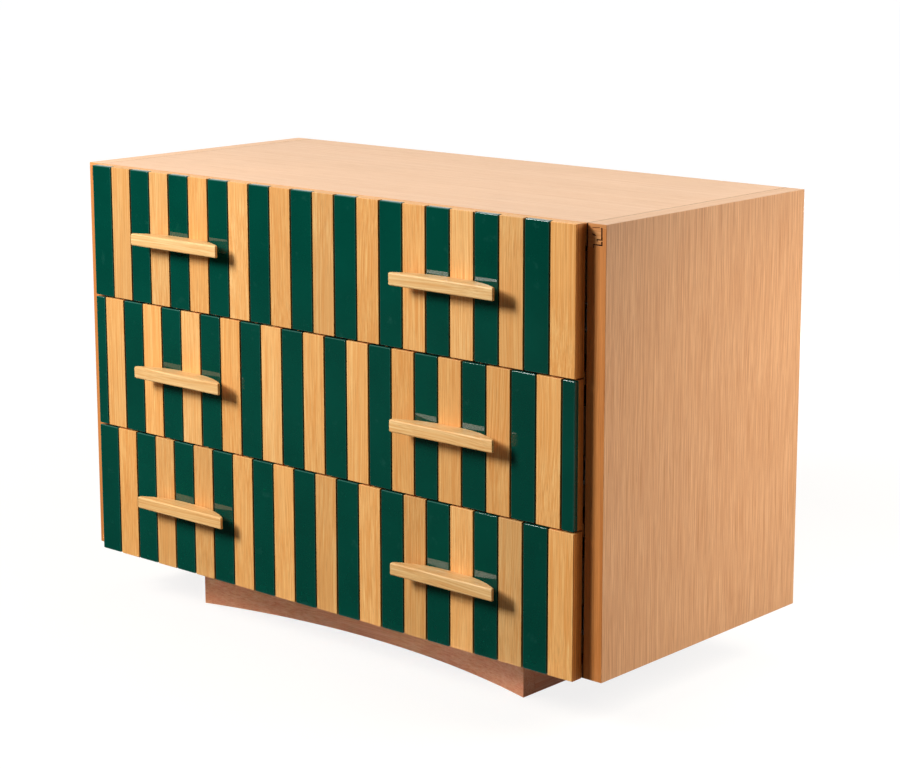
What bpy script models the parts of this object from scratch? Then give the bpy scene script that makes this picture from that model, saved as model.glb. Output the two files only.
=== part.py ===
"""A free-standing dresser: an oak carcass on a recessed plinth, with three slatted drawers."""
import math

import bmesh
import bpy

# Carcass
WIDTH = 1.200
DEPTH = 0.541
CARCASS_HEIGHT = 0.723
PANEL_THICKNESS = 0.036
BOTTOM_THICKNESS = 0.022

# Stepped joint between the top panel and each side panel. The lip is the outer skin of the side,
# which rises beside the top's end to the cap, the skin of the top that covers it. The step is the
# small drop at the inner edge of the side's shoulder.
JOINT_LIP = 0.0075
JOINT_CAP = 0.006
JOINT_STEP_WIDTH = 0.012
JOINT_STEP_HEIGHT = 0.003

# Back panel, held in a groove of each side panel
BACK_THICKNESS = 0.008
BACK_INSET = 0.012
BACK_GROOVE_DEPTH = 0.008

# Front rails between the drawers
RAIL_THICKNESS = 0.022
RAIL_DEPTH = 0.060

# Plinth
PLINTH_HEIGHT = 0.094
PLINTH_HALF_WIDTH = 0.386
PLINTH_FRONT_SETBACK = 0.068
PLINTH_BACK_SETBACK = 0.040
PLINTH_THICKNESS = 0.030
PLINTH_SAGITTA = 0.055
PLINTH_ARC_STEPS = 32

# Drawers, from the bottom up, and the rails between them
DRAWER_NAMES = ("bottom", "middle", "top")
RAIL_NAMES = ("lower_front_rail", "upper_front_rail")

# Drawer fronts: upright slats on a backing board, which laps over the carcass front
FRONT_SIDE_GAP = 0.002
FRONT_ROW_GAP = 0.003
FRONT_STANDOFF = 0.0025
BOARD_THICKNESS = 0.013
SLAT_THICKNESS = 0.010
SLAT_PAIRS = 11
SLAT_GAP = 0.003
SLAT_CHAMFER = 0.0015

# Drawer boxes
BOX_FLOOR_CLEARANCE = 0.010
BOX_HEAD_CLEARANCE = 0.011
BOX_REAR_CLEARANCE = 0.041
BOX_SIDE_THICKNESS = 0.012
BOX_BACK_THICKNESS = 0.012
BOX_BOTTOM_THICKNESS = 0.006
BOX_BOTTOM_LIFT = 0.010
BOX_GROOVE_DEPTH = 0.006

# Runners
RUNNER_SPACE = 0.013
RUNNER_HEIGHT = 0.045
RUNNER_SETBACK = 0.003
RUNNER_REAR_MARGIN = 0.027
RUNNER_WALL = 0.0012
RUNNER_LIFT = 0.060
RUNNER_CLEARANCE = 0.0004
RUNNER_FLANGE_MARGIN = 0.0015

# Handles
HANDLE_LENGTH = 0.220
HANDLE_HEIGHT = 0.0215
HANDLE_PROJECTION = 0.032
HANDLE_END_THICKNESS = 0.005
HANDLE_LAND = 0.030
HANDLE_INSET = 0.2485
HANDLE_ARC_STEPS = 14

# Handle screws
SCREW_RADIUS = 0.002
SCREW_BITE = 0.015
SCREW_HEAD_RADIUS = 0.0045
SCREW_HEAD_THICKNESS = 0.0022
SCREW_SIDES = 24

# Fits
SEAT_GAP = 0.0003
CUT_OVERRUN = 0.002

# Worked out from the sizes above
SHARP_ANGLE = math.radians(30)
FRONT_STACK = FRONT_STANDOFF + BOARD_THICKNESS + SLAT_THICKNESS
FRONT_PLANE_Y = (FRONT_STACK + HANDLE_PROJECTION - DEPTH) / 2
CARCASS_TOP = PLINTH_HEIGHT + CARCASS_HEIGHT
INNER_HALF_WIDTH = WIDTH / 2 - PANEL_THICKNESS
JOINT_SHOULDER_DROP = PANEL_THICKNESS - JOINT_STEP_HEIGHT
JOINT_SHOULDER_REACH = PANEL_THICKNESS - JOINT_STEP_WIDTH
BACK_FRONT_Y = DEPTH - BACK_INSET - BACK_THICKNESS
ROW_COUNT = len(DRAWER_NAMES)
FRONT_HALF_WIDTH = INNER_HALF_WIDTH - FRONT_SIDE_GAP
FRONT_HEIGHT = (CARCASS_HEIGHT - (ROW_COUNT - 1) * FRONT_ROW_GAP) / ROW_COUNT
FRONT_PITCH = FRONT_HEIGHT + FRONT_ROW_GAP
SLAT_PITCH = FRONT_HALF_WIDTH / SLAT_PAIRS
BOX_LIFT = BOTTOM_THICKNESS + BOX_FLOOR_CLEARANCE
BOX_HEIGHT = FRONT_HEIGHT - PANEL_THICKNESS - BOX_HEAD_CLEARANCE - BOX_LIFT
BOX_DEPTH = BACK_FRONT_Y - BOX_REAR_CLEARANCE
BOX_HALF_WIDTH = INNER_HALF_WIDTH - RUNNER_SPACE
BOX_INNER_HALF_WIDTH = BOX_HALF_WIDTH - BOX_SIDE_THICKNESS
RUNNER_LENGTH = BOX_DEPTH - RUNNER_SETBACK - RUNNER_REAR_MARGIN


def clear_scene():
    for obj in list(bpy.data.objects):
        bpy.data.objects.remove(obj, do_unlink=True)


def material(name, colour, roughness, metallic=0.0):
    mat = bpy.data.materials.new(name)
    mat.use_nodes = True
    shader = mat.node_tree.nodes["Principled BSDF"]
    shader.inputs["Base Color"].default_value = (*colour, 1.0)
    shader.inputs["Roughness"].default_value = roughness
    shader.inputs["Metallic"].default_value = metallic
    mat.diffuse_color = (*colour, 1.0)
    return mat


def add_object(name, bm, mat, location, parent=None):
    """Turn a bmesh into a named object that carries one material."""
    bmesh.ops.recalc_face_normals(bm, faces=bm.faces)
    mesh = bpy.data.meshes.new(name)
    bm.to_mesh(mesh)
    bm.free()
    mesh.materials.append(mat)
    obj = bpy.data.objects.new(name, mesh)
    obj.location = location
    obj.parent = parent
    bpy.context.collection.objects.link(obj)
    return obj


def add_frame(name, location):
    """An empty that carries the pieces of one moving group."""
    frame = bpy.data.objects.new(name, None)
    frame.location = location
    bpy.context.collection.objects.link(frame)
    return frame


def box(name, low, high, mat, parent=None):
    """A plain board between two corners."""
    size = [b - a for a, b in zip(low, high)]
    middle = [(a + b) / 2 for a, b in zip(low, high)]
    bm = bmesh.new()
    bmesh.ops.create_cube(bm, size=1.0)
    bmesh.ops.scale(bm, vec=size, verts=bm.verts)
    return add_object(name, bm, mat, middle, parent)


def prism(name, outline, run, mat, location, parent=None):
    """Extrude an outline of 3D points along the vector run."""
    bm = bmesh.new()
    face = bm.faces.new([bm.verts.new(point) for point in outline])
    extruded = bmesh.ops.extrude_face_region(bm, geom=[face])
    moved = [item for item in extruded["geom"] if isinstance(item, bmesh.types.BMVert)]
    bmesh.ops.translate(bm, vec=run, verts=moved)
    return add_object(name, bm, mat, location, parent)


def turned(name, profile, mat, location, parent=None):
    """A solid of round steps along Y, from (radius, y) pairs listed from front to back."""
    bm = bmesh.new()
    rings = []
    for radius, y in profile:
        ring = []
        for step in range(SCREW_SIDES):
            angle = 2 * math.pi * step / SCREW_SIDES
            ring.append(bm.verts.new((radius * math.cos(angle), y, radius * math.sin(angle))))
        rings.append(ring)
    for near, far in zip(rings, rings[1:]):
        for step in range(SCREW_SIDES):
            after = (step + 1) % SCREW_SIDES
            bm.faces.new((near[step], near[after], far[after], far[step]))
    bm.faces.new(rings[0])
    bm.faces.new(rings[-1])
    return add_object(name, bm, mat, location, parent)


def smooth(obj):
    obj.data.shade_smooth()
    obj.data.set_sharp_from_angle(angle=SHARP_ANGLE)


def cut(obj, cutter):
    """Take the cutter's shape out of an object."""
    cutter.hide_render = True
    cutter.display_type = "WIRE"
    boolean = obj.modifiers.new(cutter.name, "BOOLEAN")
    boolean.operation = "DIFFERENCE"
    boolean.solver = "EXACT"
    boolean.object = cutter


def side_name(side):
    return "left" if side < 0 else "right"


# Carcass

def top_panel(mat):
    """The top, whose ends step down over the lips and onto the shoulders of the side panels."""
    half = WIDTH / 2
    long_half = half - JOINT_LIP - SEAT_GAP
    short_half = half - JOINT_SHOULDER_REACH - SEAT_GAP
    cap = CARCASS_TOP - JOINT_CAP
    shoulder = CARCASS_TOP - JOINT_SHOULDER_DROP
    underside = CARCASS_TOP - PANEL_THICKNESS
    right = [
        (half, CARCASS_TOP),
        (half, cap),
        (long_half, cap),
        (long_half, shoulder),
        (short_half, shoulder),
        (short_half, underside),
    ]
    left = [(-x, z) for x, z in reversed(right)]
    outline = [(x, 0.0, z) for x, z in right + left]
    prism("top_panel", outline, (0.0, DEPTH, 0.0), mat, (0.0, FRONT_PLANE_Y, 0.0))


def side_panel(side, mat):
    """A side panel with its stepped top end and the groove for the back panel."""
    lip = CARCASS_TOP - JOINT_CAP - SEAT_GAP
    shoulder = CARCASS_TOP - JOINT_SHOULDER_DROP - SEAT_GAP
    step = CARCASS_TOP - PANEL_THICKNESS - SEAT_GAP
    profile = [
        (0.0, PLINTH_HEIGHT),
        (0.0, lip),
        (JOINT_LIP, lip),
        (JOINT_LIP, shoulder),
        (JOINT_SHOULDER_REACH, shoulder),
        (JOINT_SHOULDER_REACH, step),
        (PANEL_THICKNESS, step),
        (PANEL_THICKNESS, PLINTH_HEIGHT),
    ]
    outline = [(-side * inward, 0.0, z) for inward, z in profile]
    location = (side * WIDTH / 2, FRONT_PLANE_Y, 0.0)
    name = side_name(side) + "_side_panel"
    panel = prism(name, outline, (0.0, DEPTH, 0.0), mat, location)
    near = INNER_HALF_WIDTH - CUT_OVERRUN
    far = INNER_HALF_WIDTH + BACK_GROOVE_DEPTH
    left, right = sorted((side * near, side * far))
    front = FRONT_PLANE_Y + BACK_FRONT_Y - SEAT_GAP
    back = front + BACK_THICKNESS + 2 * SEAT_GAP
    low = (left, front, PLINTH_HEIGHT - CUT_OVERRUN)
    high = (right, back, CARCASS_TOP - PANEL_THICKNESS + CUT_OVERRUN)
    cut(panel, box(name + "_groove", low, high, mat))


def bottom_panel(mat):
    half = INNER_HALF_WIDTH - SEAT_GAP
    low = (-half, FRONT_PLANE_Y, PLINTH_HEIGHT)
    high = (half, FRONT_PLANE_Y + BACK_FRONT_Y - SEAT_GAP, PLINTH_HEIGHT + BOTTOM_THICKNESS)
    box("bottom_panel", low, high, mat)


def back_panel(mat):
    half = INNER_HALF_WIDTH + BACK_GROOVE_DEPTH - SEAT_GAP
    front = FRONT_PLANE_Y + BACK_FRONT_Y
    low = (-half, front, PLINTH_HEIGHT)
    high = (half, front + BACK_THICKNESS, CARCASS_TOP - PANEL_THICKNESS - SEAT_GAP)
    box("back_panel", low, high, mat)


def front_rail(name, row, mat):
    """A rail behind the gap between two drawer fronts, row counting the gaps from the bottom up."""
    half = INNER_HALF_WIDTH - SEAT_GAP
    middle = PLINTH_HEIGHT + row * FRONT_PITCH - FRONT_ROW_GAP / 2
    low = (-half, FRONT_PLANE_Y, middle - RAIL_THICKNESS / 2)
    high = (half, FRONT_PLANE_Y + RAIL_DEPTH, middle + RAIL_THICKNESS / 2)
    box(name, low, high, mat)


# Plinth

def plinth_arc(x):
    """How far the plinth's front face lies behind its two ends at a distance x from mid-width."""
    radius = (PLINTH_HALF_WIDTH ** 2 + PLINTH_SAGITTA ** 2) / (2 * PLINTH_SAGITTA)
    return math.sqrt(radius ** 2 - x ** 2) - (radius - PLINTH_SAGITTA)


def plinth_front(mat):
    """The front of the plinth, hollowed by an arc in plan and of the same thickness all along."""
    outer = []
    for step in range(PLINTH_ARC_STEPS + 1):
        x = PLINTH_HALF_WIDTH * (2 * step / PLINTH_ARC_STEPS - 1)
        outer.append((x, plinth_arc(x), 0.0))
    inner = [(x, y + PLINTH_THICKNESS, z) for x, y, z in reversed(outer)]
    location = (0.0, FRONT_PLANE_Y + PLINTH_FRONT_SETBACK, 0.0)
    run = (0.0, 0.0, PLINTH_HEIGHT - SEAT_GAP)
    smooth(prism("plinth_front", outer + inner, run, mat, location))


def plinth_side(side, mat):
    """A side of the plinth, whose front end is cut to the slant of the curved front."""
    inner = PLINTH_HALF_WIDTH - PLINTH_THICKNESS
    joint = PLINTH_THICKNESS + SEAT_GAP
    length = DEPTH - PLINTH_FRONT_SETBACK - PLINTH_BACK_SETBACK
    plan = [
        (PLINTH_HALF_WIDTH, joint),
        (PLINTH_HALF_WIDTH, length),
        (inner, length),
        (inner, joint + plinth_arc(inner)),
    ]
    outline = [(side * x, y, 0.0) for x, y in plan]
    location = (0.0, FRONT_PLANE_Y + PLINTH_FRONT_SETBACK, 0.0)
    run = (0.0, 0.0, PLINTH_HEIGHT - SEAT_GAP)
    prism("plinth_" + side_name(side) + "_side", outline, run, mat, location)


def plinth_back(mat):
    half = PLINTH_HALF_WIDTH - PLINTH_THICKNESS - SEAT_GAP
    back = FRONT_PLANE_Y + DEPTH - PLINTH_BACK_SETBACK
    box("plinth_back", (-half, back - PLINTH_THICKNESS, 0.0), (half, back, PLINTH_HEIGHT - SEAT_GAP), mat)


# Drawers: every place below is measured from the drawer's frame, which stands at mid-width in
# the plane of the carcass front, level with the lower edge of the drawer front.

def slat_edges(starts_with_half):
    """Left and right places of the slats across a drawer front, gaps included."""
    first = SLAT_PITCH / 2 if starts_with_half else SLAT_PITCH
    places = [-FRONT_HALF_WIDTH]
    place = -FRONT_HALF_WIDTH + first
    while place < FRONT_HALF_WIDTH - SLAT_PITCH / 4:
        places.append(place)
        place += SLAT_PITCH
    places.append(FRONT_HALF_WIDTH)
    return list(zip(places, places[1:]))


def slat_outline(left, right):
    """The part of a front's plan that one slat adds, with chamfered outer edges."""
    board_face = -FRONT_STANDOFF - BOARD_THICKNESS
    slat_face = board_face - SLAT_THICKNESS
    start = left if left <= -FRONT_HALF_WIDTH else left + SLAT_GAP / 2
    end = right if right >= FRONT_HALF_WIDTH else right - SLAT_GAP / 2
    points = [
        (start, slat_face + SLAT_CHAMFER),
        (start + SLAT_CHAMFER, slat_face),
        (end - SLAT_CHAMFER, slat_face),
        (end, slat_face + SLAT_CHAMFER),
    ]
    if start > left:
        points.insert(0, (start, board_face))
    if end < right:
        points.append((end, board_face))
    return points


def drawer_front(label, frame, oak, green):
    """The backing board and its slats, green first and then oak by turns, as one solid."""
    slats = slat_edges(label == "middle")
    plan = [(-FRONT_HALF_WIDTH, -FRONT_STANDOFF)]
    for left, right in slats:
        plan += slat_outline(left, right)
    plan.append((FRONT_HALF_WIDTH, -FRONT_STANDOFF))
    outline = [(x, y, 0.0) for x, y in plan]
    front = prism(label + "_drawer_front", outline, (0.0, 0.0, FRONT_HEIGHT), oak, (0.0, 0.0, 0.0), frame)
    front.data.materials.append(green)
    green_slats = slats[0::2]
    board_face = -FRONT_STANDOFF - BOARD_THICKNESS
    for face in front.data.polygons:
        x, y, z = face.center
        on_green = any(left < x < right for left, right in green_slats)
        if on_green and y < board_face and abs(face.normal.z) < math.cos(SHARP_ANGLE):
            face.material_index = 1
    return front


def drawer_box_side(label, side, frame, mat):
    """A box side with the groove that carries the drawer's bottom panel."""
    groove_low = BOX_BOTTOM_LIFT - SEAT_GAP
    groove_high = BOX_BOTTOM_LIFT + BOX_BOTTOM_THICKNESS + SEAT_GAP
    groove_floor = BOX_SIDE_THICKNESS - BOX_GROOVE_DEPTH
    profile = [
        (0.0, 0.0),
        (0.0, BOX_HEIGHT),
        (BOX_SIDE_THICKNESS, BOX_HEIGHT),
        (BOX_SIDE_THICKNESS, groove_high),
        (groove_floor, groove_high),
        (groove_floor, groove_low),
        (BOX_SIDE_THICKNESS, groove_low),
        (BOX_SIDE_THICKNESS, 0.0),
    ]
    outline = [(-side * inward, 0.0, z) for inward, z in profile]
    front = SEAT_GAP - FRONT_STANDOFF
    location = (side * BOX_HALF_WIDTH, front, BOX_LIFT)
    name = label + "_drawer_" + side_name(side) + "_side"
    prism(name, outline, (0.0, BOX_DEPTH - front, 0.0), mat, location, frame)


def drawer_bottom(label, frame, mat):
    half = BOX_INNER_HALF_WIDTH + BOX_GROOVE_DEPTH - SEAT_GAP
    low = (-half, SEAT_GAP - FRONT_STANDOFF, BOX_LIFT + BOX_BOTTOM_LIFT)
    high = (half, BOX_DEPTH, BOX_LIFT + BOX_BOTTOM_LIFT + BOX_BOTTOM_THICKNESS)
    box(label + "_drawer_bottom", low, high, mat, frame)


def drawer_back(label, frame, mat):
    half = BOX_INNER_HALF_WIDTH - SEAT_GAP
    floor = BOX_LIFT + BOX_BOTTOM_LIFT + BOX_BOTTOM_THICKNESS + SEAT_GAP
    low = (-half, BOX_DEPTH - BOX_BACK_THICKNESS, floor)
    high = (half, BOX_DEPTH, BOX_LIFT + BOX_HEIGHT)
    box(label + "_drawer_back", low, high, mat, frame)


def handle_back_depth(x):
    """How far the handle reaches back from its outer face at a distance x from mid-length."""
    seat = HANDLE_PROJECTION - SEAT_GAP
    run = HANDLE_LENGTH / 2 - HANDLE_LAND / 2
    rise = seat - HANDLE_END_THICKNESS
    radius = (run ** 2 + rise ** 2) / (2 * rise)
    past_land = max(abs(x) - HANDLE_LAND / 2, 0.0)
    return seat - radius + math.sqrt(radius ** 2 - past_land ** 2)


def handle_place(side):
    return (side * (FRONT_HALF_WIDTH - HANDLE_INSET), -FRONT_STACK - HANDLE_PROJECTION, FRONT_HEIGHT / 2)


def handle(label, side, frame, mat, cutter_mat):
    """A pull with a flat outer face and a back that bows out to a flat seat on the slats."""
    half = HANDLE_LENGTH / 2
    half_land = HANDLE_LAND / 2
    right = []
    for step in range(HANDLE_ARC_STEPS + 1):
        x = half - (half - half_land) * step / HANDLE_ARC_STEPS
        right.append((x, handle_back_depth(x), 0.0))
    left = [(-x, y, z) for x, y, z in reversed(right)]
    outline = [(-half, 0.0, 0.0), (half, 0.0, 0.0)] + right + left
    x, y, z = handle_place(side)
    location = (x, y, z - HANDLE_HEIGHT / 2)
    name = label + "_drawer_" + side_name(side) + "_handle"
    pull = prism(name, outline, (0.0, 0.0, HANDLE_HEIGHT), mat, location, frame)
    depth = SCREW_BITE + SEAT_GAP + CUT_OVERRUN
    profile = [(SCREW_RADIUS + SEAT_GAP, 0.0), (SCREW_RADIUS + SEAT_GAP, depth)]
    hole_place = (x, y + HANDLE_PROJECTION - SEAT_GAP - SCREW_BITE - SEAT_GAP, z)
    cut(pull, turned(name + "_hole", profile, cutter_mat, hole_place, frame))
    smooth(pull)


def handle_screw(label, side, frame, front, mat):
    """The screw that holds a handle from inside the drawer, and its hole through the front."""
    x, y, z = handle_place(side)
    tip = HANDLE_PROJECTION - SEAT_GAP - SCREW_BITE
    seat = HANDLE_PROJECTION + SLAT_THICKNESS + BOARD_THICKNESS + SEAT_GAP
    profile = [
        (SCREW_RADIUS, tip),
        (SCREW_RADIUS, seat),
        (SCREW_HEAD_RADIUS, seat),
        (SCREW_HEAD_RADIUS, seat + SCREW_HEAD_THICKNESS),
    ]
    name = label + "_drawer_" + side_name(side) + "_handle_screw"
    smooth(turned(name, profile, mat, (x, y, z), frame))
    hole = SCREW_RADIUS + SEAT_GAP
    hole_profile = [(hole, HANDLE_PROJECTION - CUT_OVERRUN), (hole, seat + CUT_OVERRUN)]
    cut(front, turned(name + "_clearance", hole_profile, mat, (x, y, z), frame))


# Runners: channels that nest in each other in the space beside a drawer box

def channel(name, side, near, far, web_near, half_height, start, mat, frame=None):
    """A channel along Y. near and far bound it across, measured from the side panel's inner face."""
    web = near + RUNNER_WALL if web_near else far - RUNNER_WALL
    lips = far if web_near else near
    back = near if web_near else far
    inner = half_height - RUNNER_WALL
    profile = [
        (back, -half_height),
        (lips, -half_height),
        (lips, -inner),
        (web, -inner),
        (web, inner),
        (lips, inner),
        (lips, half_height),
        (back, half_height),
    ]
    outline = [(-side * across, 0.0, z) for across, z in profile]
    location = (side * INNER_HALF_WIDTH, start[0], start[1])
    return prism(name, outline, (0.0, RUNNER_LENGTH, 0.0), mat, location, frame)


def runner(label, side, row_z, drawer_frame, runner_frame, mat):
    """The three members of one runner: on the cabinet, between, and on the drawer box."""
    lift = BOX_LIFT + RUNNER_LIFT
    stem = label + "_" + side_name(side) + "_runner_"
    outer_half = RUNNER_HEIGHT / 2
    middle_half = outer_half - RUNNER_WALL - RUNNER_CLEARANCE
    inner_half = middle_half - RUNNER_WALL - RUNNER_CLEARANCE
    drawer_far = RUNNER_SPACE - SEAT_GAP
    cabinet_far = drawer_far - RUNNER_WALL - RUNNER_FLANGE_MARGIN
    middle_near = SEAT_GAP + RUNNER_WALL + RUNNER_CLEARANCE
    middle_far = drawer_far - RUNNER_WALL - RUNNER_CLEARANCE
    drawer_near = middle_near + RUNNER_WALL + RUNNER_CLEARANCE
    world_start = (FRONT_PLANE_Y + RUNNER_SETBACK, row_z + lift)
    frame_start = (RUNNER_SETBACK, lift)
    channel(stem + "cabinet_member", side, SEAT_GAP, cabinet_far, True, outer_half, world_start, mat)
    channel(stem + "middle_member", side, middle_near, middle_far, True, middle_half, frame_start, mat, runner_frame)
    channel(stem + "drawer_member", side, drawer_near, drawer_far, False, inner_half, frame_start, mat, drawer_frame)


def drawer(row, label, mats):
    row_z = PLINTH_HEIGHT + row * FRONT_PITCH
    frame = add_frame(label + "_drawer_frame", (0.0, FRONT_PLANE_Y, row_z))
    runner_frame = add_frame(label + "_runner_frame", (0.0, FRONT_PLANE_Y, row_z))
    front = drawer_front(label, frame, mats["oak"], mats["green"])
    drawer_bottom(label, frame, mats["box"])
    drawer_back(label, frame, mats["box"])
    for side in (-1, 1):
        drawer_box_side(label, side, frame, mats["box"])
        handle(label, side, frame, mats["handle"], mats["steel"])
        handle_screw(label, side, frame, front, mats["steel"])
        runner(label, side, row_z, frame, runner_frame, mats["steel"])


def main():
    clear_scene()
    mats = {
        "veneer": material("oak_veneer", (0.72, 0.47, 0.27), 0.45),
        "plinth": material("oak_plinth", (0.50, 0.30, 0.16), 0.50),
        "oak": material("oak_slat", (0.70, 0.40, 0.17), 0.45),
        "green": material("green_lacquer", (0.004, 0.065, 0.050), 0.12),
        "handle": material("oak_handle", (0.80, 0.52, 0.26), 0.42),
        "box": material("birch_box", (0.74, 0.58, 0.38), 0.55),
        "steel": material("zinc_steel", (0.60, 0.61, 0.62), 0.32, 1.0),
    }
    top_panel(mats["veneer"])
    bottom_panel(mats["veneer"])
    back_panel(mats["veneer"])
    for row, name in enumerate(RAIL_NAMES, start=1):
        front_rail(name, row, mats["veneer"])
    plinth_front(mats["plinth"])
    plinth_back(mats["plinth"])
    for side in (-1, 1):
        side_panel(side, mats["veneer"])
        plinth_side(side, mats["plinth"])
    for row, label in enumerate(DRAWER_NAMES):
        drawer(row, label, mats)


main()
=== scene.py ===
"""A free-standing dresser with slatted drawer fronts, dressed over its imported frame.

Each operator builds one group of pieces over the solids that they stand for, in metres, in the
frame's own place. The last one sets up the studio."""
import math

import bmesh
import bpy
from bpy.props import FloatProperty, FloatVectorProperty, PointerProperty
from mathutils import Matrix, Vector


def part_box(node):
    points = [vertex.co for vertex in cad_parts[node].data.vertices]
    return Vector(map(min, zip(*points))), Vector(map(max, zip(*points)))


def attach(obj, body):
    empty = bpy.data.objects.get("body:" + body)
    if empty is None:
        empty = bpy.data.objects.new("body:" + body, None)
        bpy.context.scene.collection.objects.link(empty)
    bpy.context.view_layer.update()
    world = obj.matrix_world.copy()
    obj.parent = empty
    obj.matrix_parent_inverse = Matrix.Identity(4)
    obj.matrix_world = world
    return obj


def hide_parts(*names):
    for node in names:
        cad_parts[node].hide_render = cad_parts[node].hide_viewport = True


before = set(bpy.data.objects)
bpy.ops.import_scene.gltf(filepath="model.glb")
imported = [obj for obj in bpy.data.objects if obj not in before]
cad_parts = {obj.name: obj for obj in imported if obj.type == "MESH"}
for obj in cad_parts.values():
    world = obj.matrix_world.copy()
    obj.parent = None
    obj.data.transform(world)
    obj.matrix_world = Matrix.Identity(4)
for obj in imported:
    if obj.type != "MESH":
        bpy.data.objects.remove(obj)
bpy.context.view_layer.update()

bl_info = {
    "name": "Slatted dresser",
    "version": (1, 0, 0),
    "blender": (4, 5, 0),
    "location": "View3D > Sidebar > Dresser",
    "description": "Dresses the frame of a slatted oak and green dresser and lights it in a plain studio",
    "category": "Object",
}

# Sides, and their direction along X
SIDES = {"left": -1, "right": 1}

# Carcass and its corner joints
PANEL_THICKNESS = 0.036
JOINT_LIP = 0.0075
JOINT_CAP = 0.006
JOINT_SHOULDER_DROP = 0.033
SEAT_GAP = 0.0003
STRIP_GAP = 0.0008
GLUE_INSET = 0.0002
JOINT_LINE_DEPTH = 0.003
JOINT_LINE_PROUD = 0.00005

# Place of the dark lines at the rails' ends, in from a side panel's outer face, and their width. They are
# painted shade of the gap beside the drawer fronts, and partly the dark joints at the rails' ends. The
# top's ends and the foot of the sides have such a line too.
GAP_SHADE_PLACE = 0.0370
GAP_SHADE_WIDTH = 0.0018

# Dark lines of the joint on a side panel's front and back edges, as (in from the outer face, down from
# the top) at their two ends, and their width. The last two are painted shade of the gap beside the
# drawer fronts.
JOINT_LINES = (
    ((0.0092, 0.0052), (0.0090, 0.0248), 0.0025),
    ((0.0089, 0.0262), (0.0088, 0.0330), 0.0024),
    ((0.0090, 0.0240), (0.0190, 0.0240), 0.0018),
    ((0.0178, 0.0232), (0.0178, 0.0270), 0.0018),
    ((0.0088, 0.0320), (0.0258, 0.0322), 0.0018),
    ((0.0245, 0.0322), (0.0243, 0.0372), 0.0014),
    ((0.0268, 0.0160), (0.0200, 0.0184), 0.0019),
    ((0.0268, 0.0062), (0.0131, 0.0052), 0.0009),
    # Painted shade of the gap beside the drawer fronts, at the top's ends and the foot of the sides.
    ((GAP_SHADE_PLACE, 0.0006), (GAP_SHADE_PLACE, 0.0360), GAP_SHADE_WIDTH),
    ((GAP_SHADE_PLACE, 0.6870), (GAP_SHADE_PLACE, 0.7225), GAP_SHADE_WIDTH),
)

# Board marks, which give each board its own grain and tint. The top's ends have the side panels' marks,
# so that the veneer runs on. Fronts, handles and boxes count up from their first.
SIDE_BOARDS = {"left": 5.0, "right": 8.0}
STRIP_BOARDS = {"left": 2.0, "right": 4.0}
BOTTOM_BOARD = 11.0
BACK_BOARD = 12.0
RAIL_BOARDS = {"lower_front_rail": 13.0, "upper_front_rail": 14.0}
PLINTH_FRONT_BOARD = 21.0
PLINTH_BACK_BOARD = 22.0
PLINTH_SIDE_BOARDS = {"left": 23.0, "right": 24.0}
FRONT_BOARDS = {"bottom": 40.0, "middle": 80.0, "top": 120.0}
HANDLE_BOARDS = 200.0
BOX_BOARDS = {"bottom": 300.0, "middle": 310.0, "top": 320.0}

# Drawer fronts. The share is that of the rounding on the slats' back edges and the oak slats' corners.
ROWS = ("bottom", "middle", "top")
SLAT_PAIRS = 11
SLAT_GAP = 0.003
SLAT_THICKNESS = 0.010
SLAT_REST_SHARE = 0.3
LACQUER_SEGMENTS = 3

# Drawer boxes, as their parts and the axis of the grain
BOX_PARTS = (("left_side", "y"), ("right_side", "y"), ("back", "x"), ("bottom", "x"))

# Handles
HANDLE_LAND = 0.030
HANDLE_END_THICKNESS = 0.005
HANDLE_ARC_STEPS = 40
HANDLE_SEGMENTS = 4

# Screws. The tip is a share of the shank's radius, the rim of the head's height, and the recess's reach
# and pit are shares of the head's radius.
SCREW_SIDES = 32
SCREW_SHANK = 0.002
SCREW_TIP = 0.5
SCREW_HEAD = 0.0022
SCREW_DOME_STEPS = 6
SCREW_RIM = 0.45
RECESS_REACH = 0.62
RECESS_PIT = 0.2
RECESS_DEPTH = 0.0010
RECESS_ARM = math.radians(12)
RUNNER_SCREW_RADIUS = 0.0036
RUNNER_SCREW_PLACES = (0.08, 0.46, 0.90)
RUNNER_WALL = 0.0012

# Plinth
PLINTH_THICKNESS = 0.030
PLINTH_SAGITTA = 0.055
PLINTH_ARC_STEPS = 120

# Mesh making. A face looks along an axis if its normal's part along it is over the share.
WELD = 0.00001
FLAT_ANGLE = math.radians(0.5)
SHARP_ANGLE = math.radians(30)
FACING_SHARE = 0.5
EDGE_SEGMENTS = 2

# Straight grain. A board's mark times the shift moves its pattern, and the bands' scale is a share of the
# streaks'. The ranges of the noise turn into 0 to 1.
AXES = {"x": 0, "y": 1, "z": 2}
BOARD_SHIFT = (3.71, 1.93, 2.57)
WANDER_SCALE = 2.2
BAND_SCALE = 0.14
PORE_SCALE = 1300.0
PORE_ALONG = 0.018
BAND_RANGE = (0.32, 0.68)
STREAK_RANGE = (0.34, 0.66)
PORE_RANGE = (0.52, 0.72)
STREAK_HEIGHT = 0.35
HANDLED_RANGE = (0.3, 0.7)
FINE_HEIGHT = 0.3

# Woods. A board gets lighter, less green or bluer by shares of its wood's variety.
LIGHT_STREAK = 1.10
PORE_STRENGTH = 0.4
LIGHTER_BOARD = 0.4
WARM_GREEN = 0.5
COOL_BLUE = 0.3
CLOUD_LEVELS = (0.97, 1.03)
SMOOTHER_WOOD = 0.04
ROUGHER_WOOD = 0.06
ROUGHER_PORE = 0.15

# Lacquer
SPOT_RANGE = (0.62, 0.78)
SPOT_STRENGTH = 0.5
LACQUER_LEVELS = (0.94, 1.04)
LACQUER_ROUGHNESS = (0.30, 0.40)
COAT_CHANGE = 0.08

# Steel and glue
STEEL_ROUGHNESS = (0.30, 0.46)
GLUE_ROUGHNESS = (0.55, 0.8)

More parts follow.
